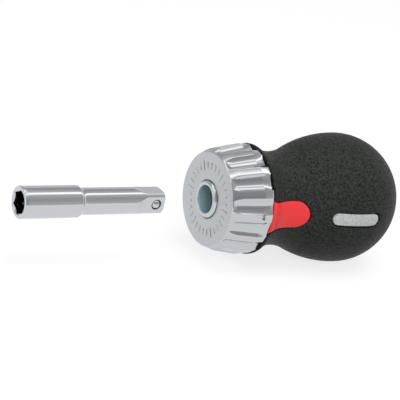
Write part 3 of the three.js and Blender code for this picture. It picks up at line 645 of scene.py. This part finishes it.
def blade_outer(degrees):
    """From the square's end face to the tip's rim."""
    off = math.cos(math.radians(off_flat(degrees)))
    flat = SQUARE / 2
    half = math.sqrt(SHAFT_RADIUS ** 2 - flat ** 2)
    share = min(1.0, flat * abs(math.tan(math.radians(off_flat(degrees)))) / half)
    turn = BLADE_END - FLAT_LENGTH - FLAT_REACH * (1 - share ** FLAT_POINT)
    end_radius = min(SHAFT_RADIUS - SQUARE_EDGE, flat / off)
    full = min(SHAFT_RADIUS, flat / off)
    edge = BLADE_END - max(0.0, full - (SHAFT_RADIUS - SQUARE_EDGE))
    points = [(BLADE_END, 0.0), (BLADE_END, end_radius * 0.6), (BLADE_END, end_radius)]
    points += line((edge - 0.02, full), (turn, full), 16)
    rise = max(0.0, SHAFT_RADIUS * off - flat)
    start = turn - rise / RUN_OUT_SLOPE
    for along in np.linspace(turn, start, 9)[1:]:
        out = flat + RUN_OUT_SLOPE * (turn - along)
        points.append((along, min(SHAFT_RADIUS, out / off)))
    shoulder = BLADE_TIP + BIT_SOCKET_LENGTH
    points += line((start - 0.01, SHAFT_RADIUS), (shoulder + FILLET_LENGTH, SHAFT_RADIUS), 24)[1:]
    points += [(shoulder + behind, SHAFT_RADIUS + above) for behind, above in FILLET_POINTS]
    points += arc(shoulder, BIT_SOCKET_RADIUS - BIT_SOCKET_ROUND, BIT_SOCKET_ROUND, 34, 90, 8)
    tip = BLADE_TIP
    points += line((shoulder, BIT_SOCKET_RADIUS), (tip + BIT_SOCKET_EDGE, BIT_SOCKET_RADIUS), 16)
    points += arc(tip + BIT_SOCKET_EDGE, BIT_SOCKET_RADIUS - BIT_SOCKET_EDGE, BIT_SOCKET_EDGE, 100, 180, 6)
    return points


def blade_inner(degrees):
    """From the rim into the hexagon, past its lead, to the floor."""
    off = (degrees - BLADE_ROLL + 30) % 60 - 30
    hexagon = HEX / 2 / math.cos(math.radians(off))
    widest = HEX / math.sqrt(3) + HEX_LEAD_WIDTH
    lead = BLADE_TIP + HEX_LEAD * (widest - hexagon) / (widest - HEX / 2)
    points = [(BLADE_TIP, widest), (lead, hexagon)]
    points += line((lead, hexagon), (HEX_FLOOR, hexagon), 8)[1:]
    bottom = HEX_FLOOR + MAGNET_HOLE_DEPTH
    return points + [(HEX_FLOOR, MAGNET_HOLE), (bottom, MAGNET_HOLE), (bottom, 0.0)]


def blade_angles():
    corner = math.degrees(math.acos(SQUARE / 2 / SHAFT_RADIUS))
    one = list(np.linspace(-corner, corner, 29)) + [corner + (90 - 2 * corner) * k / 4 for k in (1, 2, 3)]
    return [BLADE_ROLL + 90 * flat + angle for flat in range(4) for angle in one]


def make_blade():
    blade = swept(
        "blade_skin", blade_angles(), lambda a: blade_outer(a) + blade_inner(a), sharp_degrees=BLADE_SHARP,
    )
    hole_from, hole_to = BALL_HOLE_FLOOR, SHAFT_RADIUS + CUT_CLEAR
    middle = (ball_low[0] + ball_high[0]) / 2 - FACE_X
    bpy.ops.mesh.primitive_cylinder_add(
        vertices=64, radius=BALL_HOLE * MM, depth=(hole_to - hole_from) * MM,
        location=place(middle, (hole_from + hole_to) / 2, BLADE_ROLL),
        rotation=(math.radians(90 - BLADE_ROLL), 0, 0),
    )
    combine(blade, bpy.context.object, "DIFFERENCE")
    smooth(blade, BLADE_SHARP)
    return soften(blade, BLADE_SOFT, BLADE_SHARP)


def make_spindle():
    """The bright bush: a rounded nose, a round bore and the square that drives the blade."""
    def column(degrees):
        off = math.cos(math.radians(off_flat(degrees)))
        square = min(PILOT_RADIUS, SQUARE_SOCKET / 2 / off)
        nose, edge = SPINDLE_NOSE, SPINDLE_EDGE
        outer = [(SPINDLE_REAR, 0.0), (SPINDLE_REAR, SPINDLE_RADIUS)]
        outer += line((SPINDLE_REAR, SPINDLE_RADIUS), (nose + edge, SPINDLE_RADIUS), 6)[1:]
        rim = arc(nose + edge, SPINDLE_RADIUS - edge, edge, 90, 180, 6)[1:]
        mouth = arc(nose + SPINDLE_MOUTH, PILOT_RADIUS + SPINDLE_MOUTH, SPINDLE_MOUTH, 180, 270, 6)
        bore = line((nose + SPINDLE_MOUTH, PILOT_RADIUS), (PILOT_DEPTH, PILOT_RADIUS), 6)[1:]
        socket = [(PILOT_DEPTH, square), (SQUARE_SOCKET_REAR, square), (SQUARE_SOCKET_REAR, 0.0)]
        return outer + rim + mouth + bore + socket

    return swept("spindle_skin", blade_angles(), column, sharp_degrees=35)


def make_ball():
    """The spring ball of the square end, in its hole."""
    mesh = bpy.data.meshes.new("ball_skin")
    ball = bmesh.new()
    radius = (ball_high[0] - ball_low[0]) / 2
    bmesh.ops.create_icosphere(ball, subdivisions=5, radius=radius * MM)
    ball.to_mesh(mesh)
    ball.free()
    obj = bpy.data.objects.new("ball_skin", mesh)
    middle = [(low + high) / 2 for low, high in zip(ball_low, ball_high)]
    mesh.transform(Matrix.Translation(Vector(middle) * MM))
    bpy.context.scene.collection.objects.link(obj)
    smooth(obj, 60)
    return obj


# Materials
def new_material(name, color, roughness, metallic):
    material = bpy.data.materials.new(name)
    material.use_nodes = True
    shader = material.node_tree.nodes["Principled BSDF"]
    shader.inputs["Base Color"].default_value = (*color, 1)
    shader.inputs["Roughness"].default_value = roughness
    shader.inputs["Metallic"].default_value = metallic
    return material


def noise(material, scale, detail=3.0, stretch=(1, 1, 1)):
    tree = material.node_tree
    coordinates = tree.nodes.new("ShaderNodeTexCoord")
    mapping = tree.nodes.new("ShaderNodeMapping")
    mapping.inputs["Scale"].default_value = stretch
    texture = tree.nodes.new("ShaderNodeTexNoise")
    texture.inputs["Scale"].default_value = scale
    texture.inputs["Detail"].default_value = detail
    tree.links.new(coordinates.outputs["Object"], mapping.inputs["Vector"])
    tree.links.new(mapping.outputs["Vector"], texture.inputs["Vector"])
    return texture.outputs["Fac"]


def spread(material, value, low, high, socket):
    """Feeds a socket with a 0 to 1 value spread between two levels."""
    tree = material.node_tree
    node = tree.nodes.new("ShaderNodeMapRange")
    node.inputs["From Min"].default_value = 0.3
    node.inputs["From Max"].default_value = 0.7
    node.inputs["To Min"].default_value = low
    node.inputs["To Max"].default_value = high
    tree.links.new(value, node.inputs["Value"])
    tree.links.new(node.outputs["Result"], tree.nodes["Principled BSDF"].inputs[socket])


def tint(material, value, dark, light):
    """Varies the base colour between two colours."""
    tree = material.node_tree
    ramp = tree.nodes.new("ShaderNodeValToRGB")
    ramp.color_ramp.elements[0].position = 0.3
    ramp.color_ramp.elements[0].color = (*dark, 1)
    ramp.color_ramp.elements[1].position = 0.7
    ramp.color_ramp.elements[1].color = (*light, 1)
    tree.links.new(value, ramp.inputs["Fac"])
    tree.links.new(ramp.outputs["Color"], tree.nodes["Principled BSDF"].inputs["Base Color"])


def bump(material, value, height, strength=1.0):
    tree = material.node_tree
    node = tree.nodes.new("ShaderNodeBump")
    node.inputs["Distance"].default_value = height * MM
    node.inputs["Strength"].default_value = strength
    tree.links.new(value, node.inputs["Height"])
    tree.links.new(node.outputs["Normal"], tree.nodes["Principled BSDF"].inputs["Normal"])


CHROME_COLOR = (0.547, 0.570, 0.590)
BORE_COLOR = (0.26, 0.40, 0.43)
ALONG_TOOL = (0.2, 1, 1)  # draws a pattern out along the tool


def chrome_material(name):
    material = new_material(name, CHROME_COLOR, 0.1, 1.0)
    spread(material, noise(material, 900), 0.08, 0.13, "Roughness")
    bump(material, noise(material, 5000), 0.002, 0.1)
    return material


def spindle_material():
    """Chrome outside and dull blue-grey steel in the bore, told apart by the distance from the axis."""
    material = chrome_material("spindle_chrome")
    tree = material.node_tree
    shader = tree.nodes["Principled BSDF"]
    coordinates = tree.nodes.new("ShaderNodeTexCoord")
    offset = tree.nodes.new("ShaderNodeVectorMath")
    offset.operation = "MULTIPLY_ADD"
    offset.inputs[1].default_value = (0, 1, 1)
    offset.inputs[2].default_value = (0, 0, -AXIS_Z * MM)
    radius = tree.nodes.new("ShaderNodeVectorMath")
    radius.operation = "LENGTH"
    tree.links.new(coordinates.outputs["Object"], offset.inputs[0])
    tree.links.new(offset.outputs["Vector"], radius.inputs[0])
    outside = tree.nodes.new("ShaderNodeMapRange")
    outside.inputs["From Min"].default_value = (PILOT_RADIUS + 0.05) * MM
    outside.inputs["From Max"].default_value = (PILOT_RADIUS + 0.2) * MM
    tree.links.new(radius.outputs["Value"], outside.inputs["Value"])
    ramp = tree.nodes.new("ShaderNodeValToRGB")
    ramp.color_ramp.elements[0].color = (*BORE_COLOR, 1)
    ramp.color_ramp.elements[1].color = (*CHROME_COLOR, 1)
    tree.links.new(outside.outputs["Result"], ramp.inputs["Fac"])
    tree.links.new(ramp.outputs["Color"], shader.inputs["Base Color"])
    tree.links.new(outside.outputs["Result"], shader.inputs["Metallic"])
    dull = tree.nodes.new("ShaderNodeMapRange")
    dull.inputs["To Min"].default_value = 0.5
    dull.inputs["To Max"].default_value = 0.1
    tree.links.new(outside.outputs["Result"], dull.inputs["Value"])
    tree.links.new(dull.outputs["Result"], shader.inputs["Roughness"])
    return material


def ring_material():
    """Chrome that is satin on the front face, which looks along the tool, and bright elsewhere."""
    material = new_material("ring_chrome", (0.520, 0.537, 0.556), 0.1, 1.0)
    tree = material.node_tree
    geometry = tree.nodes.new("ShaderNodeNewGeometry")
    parts = tree.nodes.new("ShaderNodeSeparateXYZ")
    facing = tree.nodes.new("ShaderNodeMapRange")
    facing.inputs["From Min"].default_value = -0.985
    facing.inputs["From Max"].default_value = -0.90
    facing.inputs["To Min"].default_value = 0.36
    facing.inputs["To Max"].default_value = 0.07
    tree.links.new(geometry.outputs["True Normal"], parts.inputs["Vector"])
    tree.links.new(parts.outputs["X"], facing.inputs["Value"])
    vary = tree.nodes.new("ShaderNodeMath")
    vary.operation = "MULTIPLY_ADD"
    vary.inputs[1].default_value = 0.06
    tree.links.new(noise(material, 1500), vary.inputs[0])
    tree.links.new(facing.outputs["Result"], vary.inputs[2])
    tree.links.new(vary.outputs["Value"], tree.nodes["Principled BSDF"].inputs["Roughness"])
    bump(material, noise(material, 6000), 0.003, 0.2)
    return material


def steel_material(name, color, roughness):
    material = new_material(name, color, roughness, 1.0)
    marks = noise(material, 1800, stretch=ALONG_TOOL)
    spread(material, marks, roughness - 0.08, roughness + 0.1, "Roughness")
    bump(material, noise(material, 2500, stretch=ALONG_TOOL), 0.006, 0.3)
    return material


def red_material():
    material = new_material("red_plastic", (0.88, 0.033, 0.037), 0.42, 0.0)
    tint(material, noise(material, 60), (0.86, 0.030, 0.034), (0.90, 0.036, 0.040))
    spread(material, noise(material, 3000), 0.38, 0.48, "Roughness")
    bump(material, noise(material, 4500), 0.006, 0.25)
    return material


def grip_material():
    material = new_material("black_grip", (0.015, 0.016, 0.014), 0.55, 0.0)
    shader = material.node_tree.nodes["Principled BSDF"]
    shader.inputs["Specular IOR Level"].default_value = 0.12
    tint(material, noise(material, 1700, 4), (0.003, 0.004, 0.003), (0.044, 0.048, 0.043))
    spread(material, noise(material, 1300), 0.45, 0.65, "Roughness")
    bump(material, noise(material, 1500, 3), 0.12, 0.6)
    return material


def label_material():
    material = new_material("grey_label", (0.53, 0.54, 0.54), 0.6, 0.0)
    tint(material, noise(material, 1500, 4), (0.42, 0.43, 0.43), (0.62, 0.625, 0.625))
    bump(material, noise(material, 3000), 0.02, 0.4)
    return material


def bronze_material():
    material = new_material("bronze", (0.55, 0.38, 0.16), 0.4, 1.0)
    spread(material, noise(material, 2000), 0.35, 0.5, "Roughness")
    return material


materials = {
    "chrome_plate": chrome_material("chrome_plate"),
    "spindle_chrome": spindle_material(),
    "ring_chrome": ring_material(),
    "spring_steel": steel_material("spring_steel", (0.50, 0.50, 0.51), 0.25),
    "machined_steel": steel_material("machined_steel", (0.42, 0.43, 0.44), 0.35),
    "dark_steel": steel_material("dark_steel", (0.16, 0.16, 0.17), 0.45),
    "bronze": bronze_material(),
    "red_plastic": red_material(),
    "black_grip": grip_material(),
    "grey_label": label_material(),
}


def dress(obj, finish):
    obj.data.materials.clear()
    obj.data.materials.append(materials[finish])


for subpart in frame["record"]["subparts"]:
    dress(frame["nodes"][subpart["node"]], subpart["material_slot"])

SKINS = [
    (make_ring, "selector", "selector_ring", "ring_chrome"),
    (make_grip, "handle", "soft_grip", "black_grip"),
    (make_tab, "handle", "handle_core", "red_plastic"),
    (make_label, "handle", "label_plate", "grey_label"),
    (make_blade, "blade", "blade_shank", "chrome_plate"),
    (make_spindle, "spindle", "drive_spindle", "chrome_plate", "spindle_chrome"),
    (make_ball, "blade_ball", "blade_ball", "spring_steel", "chrome_plate"),
]
for make, body, node, slot, *finish in SKINS:
    skin = make()
    dress(skin, finish[0] if finish else slot)
    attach(skin, body)
    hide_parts(node)

# Camera: the photograph's view, from in front of the marked side and a little above
VIEW_OUT = math.radians(31.5)  # the tool's axis out of the picture plane, tip nearer
VIEW_UP = math.radians(22.3)  # above the marked side, about the axis
VIEW_ROLL = math.radians(1.04)  # the axis rises to the right in the picture
VIEW_DISTANCE = 600.0
FOCAL_PIXELS = 2010.0
PICTURE = 400.0
FACE_PIXEL = (207.0, 199.0)  # where the middle of the ring's face lies
SENSOR = 36.0


def add_camera():
    back = Vector((
        -math.sin(VIEW_OUT),
        -math.cos(VIEW_OUT) * math.cos(VIEW_UP),
        math.cos(VIEW_OUT) * math.sin(VIEW_UP),
    ))
    tool = Vector((1, 0, 0))
    level = (tool - back * tool.dot(back)).normalized()
    over = back.cross(level)
    right = level * math.cos(VIEW_ROLL) - over * math.sin(VIEW_ROLL)
    up = level * math.sin(VIEW_ROLL) + over * math.cos(VIEW_ROLL)
    pixel = VIEW_DISTANCE / FOCAL_PIXELS
    face = Vector((FACE_X, 0, AXIS_Z))
    spot = face + back * VIEW_DISTANCE
    spot -= right * (FACE_PIXEL[0] - PICTURE / 2) * pixel
    spot += up * (FACE_PIXEL[1] - PICTURE / 2) * pixel
    data = bpy.data.cameras.new("camera")
    data.sensor_width = SENSOR
    data.lens = SENSOR * FOCAL_PIXELS / PICTURE
    data.clip_start = 0.01
    camera = bpy.data.objects.new("camera", data)
    turn = Matrix((right, up, back)).transposed().to_4x4()
    camera.matrix_world = Matrix.Translation(spot * MM) @ turn
    bpy.context.scene.collection.objects.link(camera)
    bpy.context.scene.camera = camera


add_camera()

# Floor, surround and light
FLOOR_SIZE = 12.0  # metres
SURROUND_RADIUS = 1.6
SURROUND_LENGTH = 5.0
SURROUND_STEPS = 90


def seen_rays(tree):
    """1 for rays that show the background: camera, glossy and transmission rays."""
    path = tree.nodes.new("ShaderNodeLightPath")
    total = path.outputs["Is Camera Ray"]
    for name in ("Is Glossy Ray", "Is Transmission Ray"):
        most = tree.nodes.new("ShaderNodeMath")
        most.operation = "MAXIMUM"
        tree.links.new(total, most.inputs[0])
        tree.links.new(path.outputs[name], most.inputs[1])
        total = most.outputs["Value"]
    return total


def add_floor():
    half = FLOOR_SIZE / 2
    mesh = bpy.data.meshes.new("floor")
    corners = [(-half, -half, 0), (half, -half, 0), (half, half, 0), (-half, half, 0)]
    mesh.from_pydata(corners, [], [(0, 1, 2, 3)])
    floor = bpy.data.objects.new("floor", mesh)
    bpy.context.scene.collection.objects.link(floor)
    material = bpy.data.materials.new("floor_white")
    material.use_nodes = True
    tree = material.node_tree
    tree.nodes.clear()
    output = tree.nodes.new("ShaderNodeOutputMaterial")
    both = tree.nodes.new("ShaderNodeAddShader")
    paint = tree.nodes.new("ShaderNodeBsdfDiffuse")
    paint.inputs["Color"].default_value = (0.30, 0.30, 0.30, 1)
    glow = tree.nodes.new("ShaderNodeEmission")
    glow.inputs["Color"].default_value = (1, 1, 1, 1)
    share = tree.nodes.new("ShaderNodeMath")
    share.operation = "MULTIPLY"
    share.inputs[1].default_value = 0.76
    tree.links.new(seen_rays(tree), share.inputs[0])
    tree.links.new(share.outputs["Value"], glow.inputs["Strength"])
    tree.links.new(paint.outputs["BSDF"], both.inputs[0])
    tree.links.new(glow.outputs["Emission"], both.inputs[1])
    tree.links.new(both.outputs["Shader"], output.inputs["Surface"])
    floor.data.materials.append(material)


def add_world():
    world = bpy.data.worlds.new("world")
    bpy.context.scene.world = world
    world.use_nodes = True
    tree = world.node_tree
    tree.nodes.clear()
    output = tree.nodes.new("ShaderNodeOutputWorld")
    light = tree.nodes.new("ShaderNodeBackground")
    light.inputs["Color"].default_value = (1, 1, 1, 1)
    level = tree.nodes.new("ShaderNodeMapRange")
    level.inputs["To Min"].default_value = 0.46
    level.inputs["To Max"].default_value = 1.0
    tree.links.new(seen_rays(tree), level.inputs["Value"])
    tree.links.new(level.outputs["Result"], light.inputs["Strength"])
    tree.links.new(light.outputs["Background"], output.inputs["Surface"])


# How bright the cards are at angles over the tool, in degrees up from the floor on the camera's side:
# one set of cards beside the handle, which the ring reflects, and one behind it, which the blade reflects
RING_CARDS = [
    (0, 0.48), (8, 0.43), (24, 0.36), (40, 0.45), (52, 0.50), (60, 0.60), (67, 0.85), (73, 2.0),
    (77, 1.3), (82, 0.80), (88, 0.85), (94, 1.6), (110, 1.6), (118, 0.75), (128, 0.55), (180, 0.60),
]
BLADE_CARDS = [
    (0, 0.62), (12, 0.62), (24, 0.52), (44, 0.48), (56, 0.60), (66, 0.62), (71, 0.80), (76, 1.1),
    (79, 2.1), (86, 2.1), (90, 0.95), (95, 0.68), (104, 0.61), (112, 0.52), (120, 0.43), (130, 0.46),
    (140, 0.70), (150, 0.77), (180, 0.70),
]
BRIGHTEST_CARD = max(level for _, level in RING_CARDS + BLADE_CARDS)
CARDS_MEET = (0.60, 0.70)  # metres along the tool's direction


def card_levels(tree, share, levels):
    """The cards' brightness, as a share of the brightest card's, over the angle's share of a half turn."""
    ramp = tree.nodes.new("ShaderNodeValToRGB")
    elements = ramp.color_ramp.elements
    for degrees, level in levels:
        last = degrees == levels[-1][0]
        element = elements[0] if degrees == 0 else elements[-1] if last else elements.new(degrees / 180)
        element.color = (*[level / BRIGHTEST_CARD] * 3, 1)
    tree.links.new(share, ramp.inputs["Fac"])
    return ramp.outputs["Color"]


def add_surround():
    """Grey studio cards that arch over the tool and show only in what the metal reflects."""
    points, faces = [], []
    for i in range(SURROUND_STEPS + 1):
        angle = math.radians(1 + 178 * i / SURROUND_STEPS)
        for end in (-1, 1):
            points.append((
                end * SURROUND_LENGTH / 2,
                -SURROUND_RADIUS * math.cos(angle),
                SURROUND_RADIUS * math.sin(angle),
            ))
    for i in range(SURROUND_STEPS):
        faces.append((2 * i, 2 * i + 1, 2 * i + 3, 2 * i + 2))
    mesh = bpy.data.meshes.new("surround")
    mesh.from_pydata(points, [], faces)
    cards = bpy.data.objects.new("surround", mesh)
    bpy.context.scene.collection.objects.link(cards)
    material = bpy.data.materials.new("surround_grey")
    material.use_nodes = True
    tree = material.node_tree
    tree.nodes.clear()
    output = tree.nodes.new("ShaderNodeOutputMaterial")
    glow = tree.nodes.new("ShaderNodeEmission")
    coordinates = tree.nodes.new("ShaderNodeTexCoord")
    parts = tree.nodes.new("ShaderNodeSeparateXYZ")
    turn = tree.nodes.new("ShaderNodeMath")
    turn.operation = "MULTIPLY"
    turn.inputs[1].default_value = -1
    angle = tree.nodes.new("ShaderNodeMath")
    angle.operation = "ARCTAN2"
    share = tree.nodes.new("ShaderNodeMath")
    share.operation = "DIVIDE"
    share.inputs[1].default_value = math.pi
    behind = tree.nodes.new("ShaderNodeMapRange")
    behind.inputs["From Min"].default_value, behind.inputs["From Max"].default_value = CARDS_MEET
    both = tree.nodes.new("ShaderNodeMixRGB")
    tree.links.new(coordinates.outputs["Object"], parts.inputs["Vector"])
    tree.links.new(parts.outputs["Y"], turn.inputs[0])
    tree.links.new(parts.outputs["Z"], angle.inputs[0])
    tree.links.new(turn.outputs["Value"], angle.inputs[1])
    tree.links.new(angle.outputs["Value"], share.inputs[0])
    tree.links.new(parts.outputs["X"], behind.inputs["Value"])
    tree.links.new(behind.outputs["Result"], both.inputs["Fac"])
    tree.links.new(card_levels(tree, share.outputs["Value"], RING_CARDS), both.inputs["Color1"])
    tree.links.new(card_levels(tree, share.outputs["Value"], BLADE_CARDS), both.inputs["Color2"])
    glow.inputs["Strength"].default_value = BRIGHTEST_CARD
    tree.links.new(both.outputs["Color"], glow.inputs["Color"])
    tree.links.new(glow.outputs["Emission"], output.inputs["Surface"])
    mesh.materials.append(material)
    cards.visible_camera = False
    cards.visible_diffuse = False
    cards.visible_shadow = False
    cards.visible_transmission = False


def add_lamp(name, spot, target, size, watts):
    """A soft lamp that lights surfaces and casts shadows. Its reflection is left to the surround."""
    data = bpy.data.lights.new(name, "AREA")
    data.shape = "RECTANGLE"
    data.size, data.size_y = size
    data.energy = watts
    lamp = bpy.data.objects.new(name, data)
    lamp.location = spot
    aim = Vector(target) - Vector(spot)
    lamp.rotation_euler = aim.to_track_quat("-Z", "Y").to_euler()
    lamp.visible_glossy = False
    lamp.visible_camera = False
    bpy.context.scene.collection.objects.link(lamp)


add_floor()
add_world()
add_surround()
add_lamp("softbox", (0.1, -0.25, 0.9), (0.0, 0.0, 0.02), (0.9, 0.5), 3.2)
add_lamp("fill", (-0.4, -1.0, 0.5), (0.0, 0.0, 0.02), (0.9, 0.9), 7.6)

bpy.context.scene.view_settings.view_transform = "Standard"
